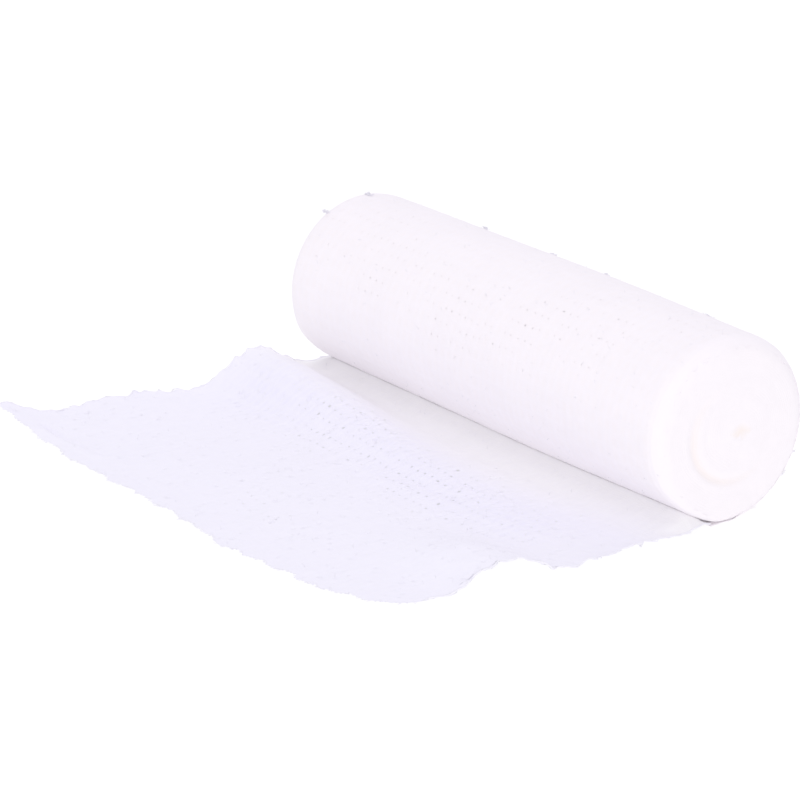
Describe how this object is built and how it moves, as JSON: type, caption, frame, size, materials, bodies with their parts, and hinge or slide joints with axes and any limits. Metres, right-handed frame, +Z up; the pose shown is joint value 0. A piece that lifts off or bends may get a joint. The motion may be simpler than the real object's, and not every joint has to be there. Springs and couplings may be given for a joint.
{
  "type": "gauze bandage roll",
  "caption": "Roll of white elastic gauze bandage lying on its side, with its loose end drawn out from beneath it in soft folds.",
  "frame": {"origin": "on the surface it rests on, in the middle of the flat spot under the roll", "axes": "+X along the roll's axis towards the end face that the picture shows, -Y the way the loose end leaves, +Z up"},
  "size_m": [0.1055, 0.0833, 0.0303],
  "materials": {
    "gauze_wound": "soft matte open weave, many layers thick",
    "gauze_single": "soft matte open weave, one layer, slightly sheer"
  },
  "bodies": {
    "root": {"gauze_roll": "gauze_wound", "loose_end": "gauze_single"}
  },
  "joints": []
}
